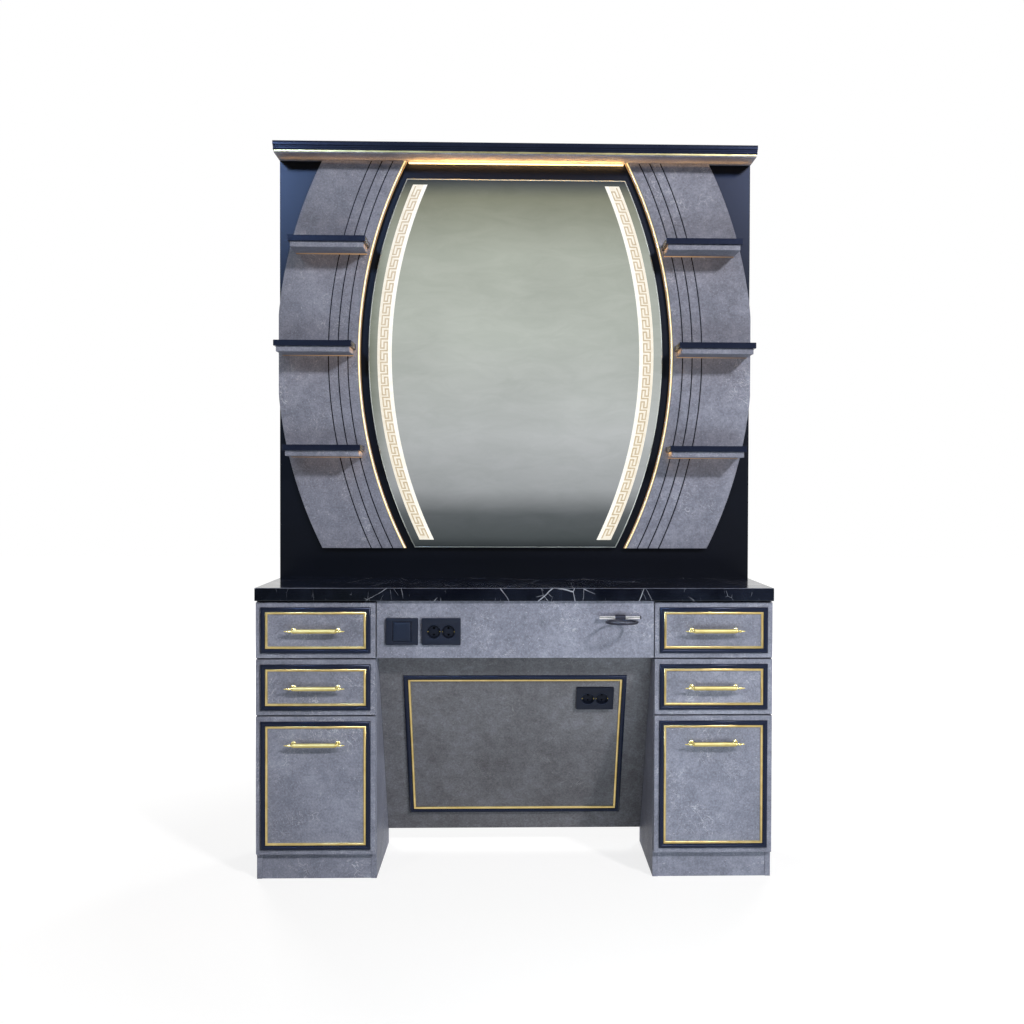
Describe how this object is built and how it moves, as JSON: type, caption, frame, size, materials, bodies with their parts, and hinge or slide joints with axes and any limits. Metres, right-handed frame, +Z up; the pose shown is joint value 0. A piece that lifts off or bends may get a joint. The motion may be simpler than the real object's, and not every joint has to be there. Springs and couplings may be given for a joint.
{
  "type": "salon styling station",
  "caption": "Salon styling station: black marble-look worktop on two grey stone-look drawer pedestals, with a tall panel holding a backlit barrel mirror, curved lit side panels and shelves.",
  "frame": {"origin": "on the floor, at the centre of the footprint box, which runs from the dryer ring to the tower's back", "axes": "+Z up, +Y towards the wall behind the tower, front with the drawers towards -Y, +X to the right of someone facing the mirror"},
  "size_m": [1.508, 0.4696, 2.21],
  "materials": {
    "grey_stone": "grey stone-look laminate on board, satin",
    "knee_stone": "grey stone-look laminate on board, satin, in shade",
    "black_marble": "black marble-look laminate with white veins, polished",
    "navy_trim": "blue-black foil, satin",
    "tower_black": "black laminate, satin",
    "brass": "knurled and polished brass",
    "chrome": "polished",
    "mirror": "silvered glass with a bevelled edge and frosted bands",
    "warm_light": "lit diffuser strip",
    "switch_black": "satin moulded plastic",
    "box_white": "pale melamine on board",
    "back_board": "thin fibreboard"
  },
  "bodies": {
    "station": {"worktop": "black_marble", "left_outer_side": "grey_stone", "left_inner_side": "grey_stone", "left_plinth": "grey_stone", "left_floor_board": "box_white", "left_back_board": "back_board", "right_outer_side": "grey_stone", "right_inner_side": "grey_stone", "right_plinth": "grey_stone", "right_floor_board": "box_white", "right_back_board": "back_board", "apron": "grey_stone", "apron_socket": "switch_black", "switch_plate": "switch_black", "dryer_bar": "chrome", "dryer_ring": "switch_black", "modesty_panel": "knee_stone", "modesty_moulding": "navy_trim", "knee_socket": "switch_black", "tower_panel": "tower_black", "crown_board": "navy_trim", "crown_soffit": "grey_stone", "crown_light": "warm_light", "left_side_panel": "grey_stone", "left_edge_light": "warm_light", "left_low_shelf": "navy_trim", "left_middle_shelf": "navy_trim", "left_high_shelf": "navy_trim", "right_side_panel": "grey_stone", "right_edge_light": "warm_light", "right_low_shelf": "navy_trim", "right_middle_shelf": "navy_trim", "right_high_shelf": "navy_trim", "mirror_backing": "tower_black", "mirror": "mirror"},
    "left_top_drawer": {"left_top_drawer_front": "grey_stone", "left_top_drawer_moulding": "navy_trim", "left_top_drawer_handle": "brass", "left_top_drawer_box": "box_white"},
    "left_middle_drawer": {"left_middle_drawer_front": "grey_stone", "left_middle_drawer_moulding": "navy_trim", "left_middle_drawer_handle": "brass", "left_middle_drawer_box": "box_white"},
    "left_deep_drawer": {"left_deep_drawer_front": "grey_stone", "left_deep_drawer_moulding": "navy_trim", "left_deep_drawer_handle": "brass", "left_deep_drawer_box": "box_white"},
    "right_top_drawer": {"right_top_drawer_front": "grey_stone", "right_top_drawer_moulding": "navy_trim", "right_top_drawer_handle": "brass", "right_top_drawer_box": "box_white"},
    "right_middle_drawer": {"right_middle_drawer_front": "grey_stone", "right_middle_drawer_moulding": "navy_trim", "right_middle_drawer_handle": "brass", "right_middle_drawer_box": "box_white"},
    "right_deep_drawer": {"right_deep_drawer_front": "grey_stone", "right_deep_drawer_moulding": "navy_trim", "right_deep_drawer_handle": "brass", "right_deep_drawer_box": "box_white"},
    "rocker": {"switch_rocker": "switch_black"}
  },
  "joints": [
    {"name": "left_top_drawer_slide", "type": "slide", "parent": "station", "child": "left_top_drawer", "axis": [0, -1, 0], "range_m": [0, 0.24]},
    {"name": "left_middle_drawer_slide", "type": "slide", "parent": "station", "child": "left_middle_drawer", "axis": [0, -1, 0], "range_m": [0, 0.24]},
    {"name": "left_deep_drawer_slide", "type": "slide", "parent": "station", "child": "left_deep_drawer", "axis": [0, -1, 0], "range_m": [0, 0.24]},
    {"name": "right_top_drawer_slide", "type": "slide", "parent": "station", "child": "right_top_drawer", "axis": [0, -1, 0], "range_m": [0, 0.24]},
    {"name": "right_middle_drawer_slide", "type": "slide", "parent": "station", "child": "right_middle_drawer", "axis": [0, -1, 0], "range_m": [0, 0.24]},
    {"name": "right_deep_drawer_slide", "type": "slide", "parent": "station", "child": "right_deep_drawer", "axis": [0, -1, 0], "range_m": [0, 0.24]},
    {"name": "switch_rocker_tilt", "type": "hinge", "parent": "station", "child": "rocker", "pos_m": [-0.328, -0.12725, 0.7235], "axis": [1, 0, 0], "range_deg": [0, 8]}
  ]
}
